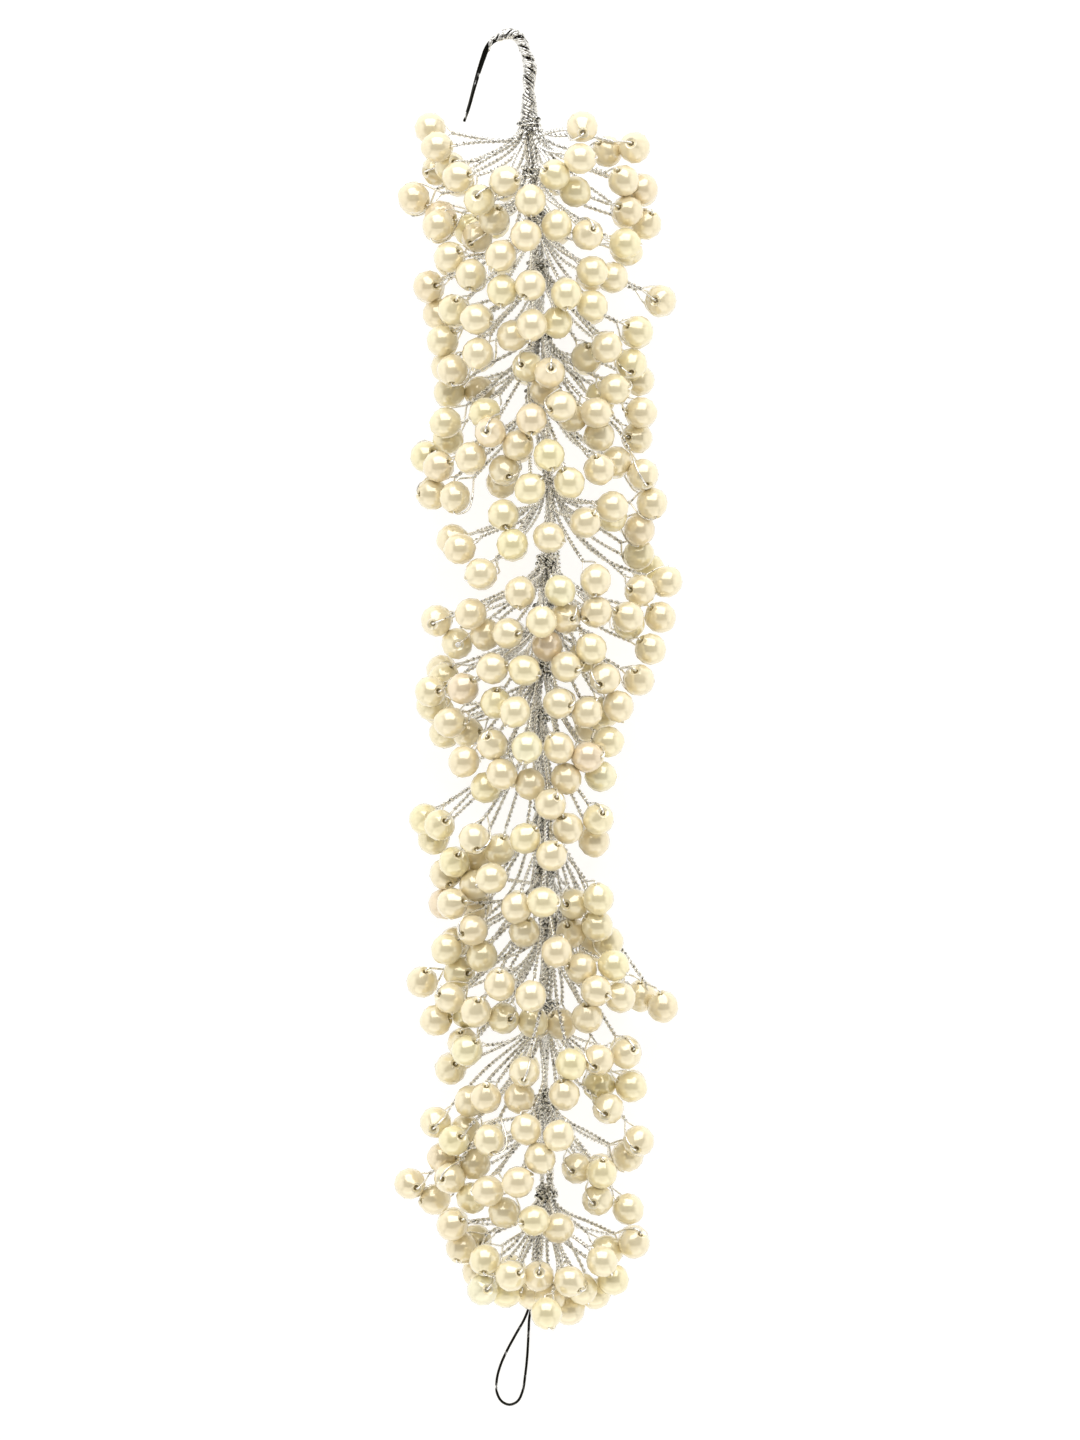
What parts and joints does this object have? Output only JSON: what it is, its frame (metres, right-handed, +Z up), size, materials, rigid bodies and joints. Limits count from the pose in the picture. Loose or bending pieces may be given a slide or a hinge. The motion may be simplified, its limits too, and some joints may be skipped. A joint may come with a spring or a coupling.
{
  "type": "pearl hair vine",
  "caption": "Bendable wire hair chain: tiers of cream pearl beads on twisted silver wire stalks along a stem, with a wrapped wire hook at one end and a wire eye at the other.",
  "frame": {"origin": "middle of the underside: the centre of the vine's length and width, on the surface that it lies on", "axes": "+Y along the vine towards the hook, +X towards the right of the picture, +Z up, away from the surface that it lies on"},
  "size_m": [0.0574, 0.2757, 0.04],
  "materials": {
    "pearl": "cream imitation pearl with a soft pearly sheen",
    "silver_wire": "thin silver-plated wire, twisted in pairs and wound, bright with small glints",
    "bright_wire": "bare polished wire"
  },
  "bodies": {
    "root": {"hook_wire": "bright_wire", "hook_wrap": "silver_wire", "stem": "silver_wire", "tail_loop": "bright_wire", "tie_01": "silver_wire", "tie_02": "silver_wire", "tie_03": "silver_wire", "tie_04": "silver_wire", "tie_05": "silver_wire", "tie_06": "silver_wire", "tie_07": "silver_wire", "tie_08": "silver_wire", "tie_09": "silver_wire", "tie_10": "silver_wire", "tie_11": "silver_wire", "tie_12": "silver_wire", "tie_13": "silver_wire", "tie_14": "silver_wire", "tie_15": "silver_wire", "tie_16": "silver_wire", "tie_17": "silver_wire", "spray_01_left": "pearl", "spray_01_right": "pearl", "spray_02_left": "pearl", "spray_02_right": "pearl", "spray_03_left": "pearl", "spray_03_right": "pearl", "spray_04_left": "pearl", "spray_04_right": "pearl", "spray_05_left": "pearl", "spray_05_right": "pearl", "spray_06_left": "pearl", "spray_06_right": "pearl", "spray_07_left": "pearl", "spray_07_right": "pearl", "spray_08_left": "pearl", "spray_08_right": "pearl", "spray_09_left": "pearl", "spray_09_right": "pearl", "spray_10_left": "pearl", "spray_10_right": "pearl", "spray_11_left": "pearl", "spray_11_right": "pearl", "spray_12_left": "pearl", "spray_12_right": "pearl", "spray_13_left": "pearl", "spray_13_right": "pearl", "spray_14_left": "pearl", "spray_14_right": "pearl", "spray_15_left": "pearl", "spray_15_right": "pearl", "spray_16_left": "pearl", "spray_16_right": "pearl", "spray_17_left": "pearl", "spray_17_right": "pearl"}
  },
  "joints": []
}
